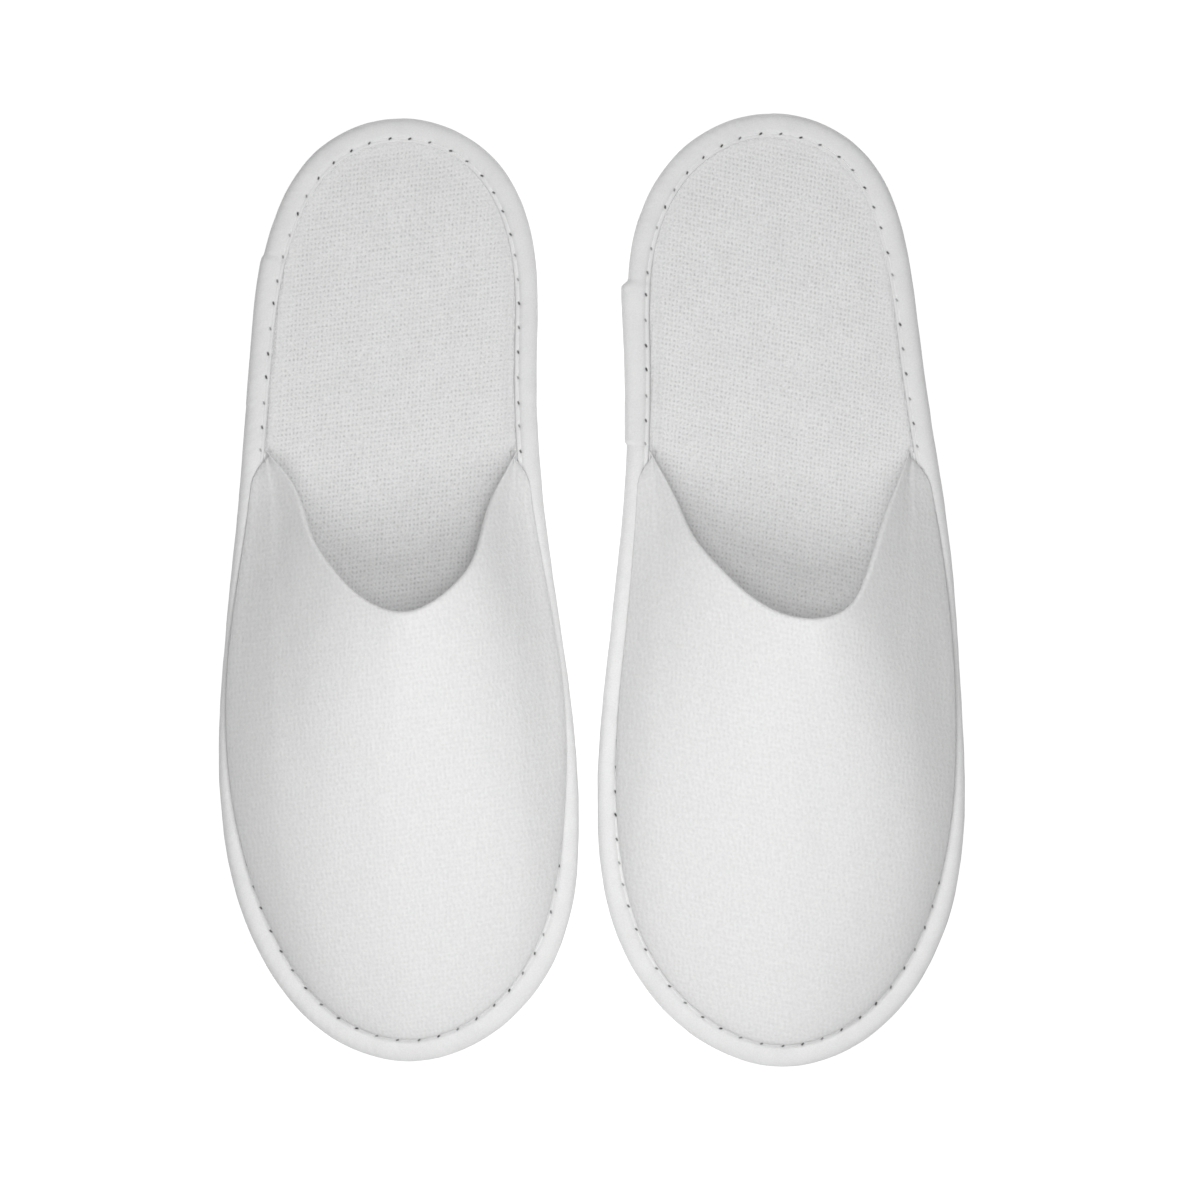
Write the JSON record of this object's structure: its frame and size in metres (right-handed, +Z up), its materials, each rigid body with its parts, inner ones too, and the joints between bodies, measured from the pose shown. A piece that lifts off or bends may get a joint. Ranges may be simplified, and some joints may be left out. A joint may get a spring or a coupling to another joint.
{
  "type": "pair of spa slippers",
  "caption": "Closed-toe spa slippers: flat foam sole with a terry footbed, padded terry upper and a sewn edge tape.",
  "frame": {"origin": "on the floor, under the centre of the pair's plan outline", "axes": "+X from the right slipper to the left one, +Y from the toes to the heels, +Z up"},
  "size_m": [0.2262, 0.2889, 0.046],
  "materials": {
    "eva_foam": "matte",
    "insole_foam": "matte",
    "terry_footbed": "matte",
    "terry_upper": "matte",
    "upper_padding": "matte",
    "upper_lining": "matte",
    "binding_tape": "matte",
    "seam_thread": "matte"
  },
  "bodies": {
    "right_slipper": {"right_outsole": "eva_foam", "right_insole_foam": "insole_foam", "right_footbed": "terry_footbed", "right_edge_binding": "binding_tape", "right_needle_thread": "seam_thread", "right_bobbin_thread": "seam_thread", "right_upper_shell": "terry_upper", "right_upper_padding": "upper_padding", "right_upper_lining": "upper_lining"},
    "right_toe": {"right_outsole_toe": "eva_foam", "right_insole_foam_toe": "insole_foam", "right_footbed_toe": "terry_footbed", "right_edge_binding_toe": "binding_tape", "right_needle_thread_toe": "seam_thread", "right_bobbin_thread_toe": "seam_thread"},
    "left_slipper": {"left_outsole": "eva_foam", "left_insole_foam": "insole_foam", "left_footbed": "terry_footbed", "left_edge_binding": "binding_tape", "left_needle_thread": "seam_thread", "left_bobbin_thread": "seam_thread", "left_upper_shell": "terry_upper", "left_upper_padding": "upper_padding", "left_upper_lining": "upper_lining"},
    "left_toe": {"left_outsole_toe": "eva_foam", "left_insole_foam_toe": "insole_foam", "left_footbed_toe": "terry_footbed", "left_edge_binding_toe": "binding_tape", "left_needle_thread_toe": "seam_thread", "left_bobbin_thread_toe": "seam_thread"}
  },
  "joints": [
    {"name": "left_slipper_lift", "type": "slide", "parent": "right_slipper", "child": "left_slipper", "axis": [0, 0, 1], "range_m": [0, 0.2]},
    {"name": "right_toe_flex", "type": "hinge", "parent": "right_slipper", "child": "right_toe", "pos_m": [-0.05863, -0.05006, 0.0088], "axis": [-1, 0, 0], "range_deg": [0, 35], "stiffness_Nm_per_rad": 0.12, "deforming": ["right_upper_shell", "right_upper_padding", "right_upper_lining"]},
    {"name": "left_toe_flex", "type": "hinge", "parent": "left_slipper", "child": "left_toe", "pos_m": [0.05736, -0.05006, 0.0088], "axis": [-1, 0, 0], "range_deg": [0, 35], "stiffness_Nm_per_rad": 0.12, "deforming": ["left_upper_shell", "left_upper_padding", "left_upper_lining"]}
  ]
}
